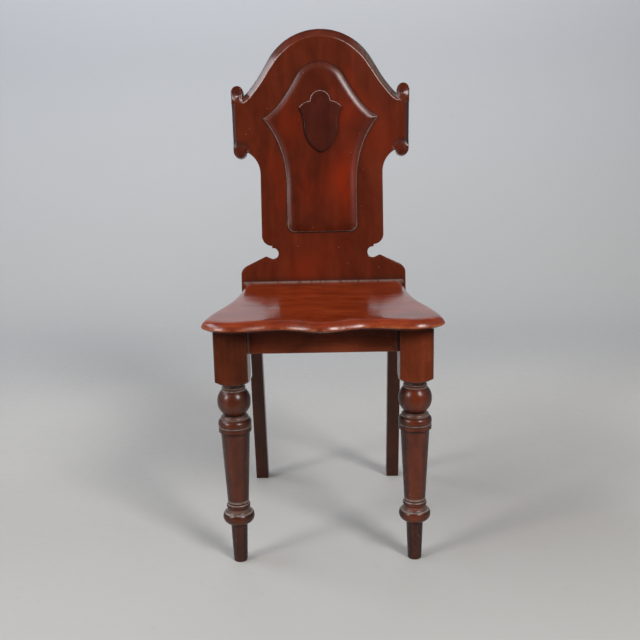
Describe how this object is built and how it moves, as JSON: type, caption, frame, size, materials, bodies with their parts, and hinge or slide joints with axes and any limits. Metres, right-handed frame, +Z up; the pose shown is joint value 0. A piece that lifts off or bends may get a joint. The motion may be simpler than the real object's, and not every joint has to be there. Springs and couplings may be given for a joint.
{
  "type": "hall chair",
  "caption": "Wooden hall chair with a solid serpentine-fronted seat, a shaped raking back with raised panel and blank shield, turned front legs and raked square rear legs.",
  "frame": {"origin": "on the floor, under the middle of the chair's box", "axes": "+Z up, -Y towards the front of the seat, +X to the right as seen from the front"},
  "size_m": [0.397, 0.506, 0.947],
  "materials": {
    "seat_mahogany": "glossy French polish, worn to orange along the edges",
    "back_mahogany": "glossy French polish, dark in the recesses",
    "leg_mahogany": "French polish with wax in the turned grooves",
    "rail_mahogany": "French polish, dull on the inner faces",
    "block_deal": "bare aged softwood",
    "dowel_beech": "bare",
    "screw_iron": "darkened iron"
  },
  "bodies": {
    "root": {"seat_front_board": "seat_mahogany", "seat_rear_board": "seat_mahogany", "seat_dowels": "dowel_beech", "back_board": "back_mahogany", "back_panel": "back_mahogany", "back_shield": "back_mahogany", "front_leg_left": "leg_mahogany", "front_leg_right": "leg_mahogany", "rear_leg_left": "leg_mahogany", "rear_leg_right": "leg_mahogany", "front_rail": "rail_mahogany", "side_rail_left": "rail_mahogany", "side_rail_right": "rail_mahogany", "rear_rail": "rail_mahogany", "rail_dowels": "dowel_beech", "corner_block_front_left": "block_deal", "corner_block_front_right": "block_deal", "corner_block_rear_left": "block_deal", "corner_block_rear_right": "block_deal", "seat_glue_blocks": "block_deal", "seat_screws": "screw_iron", "back_screws": "screw_iron"}
  },
  "joints": []
}
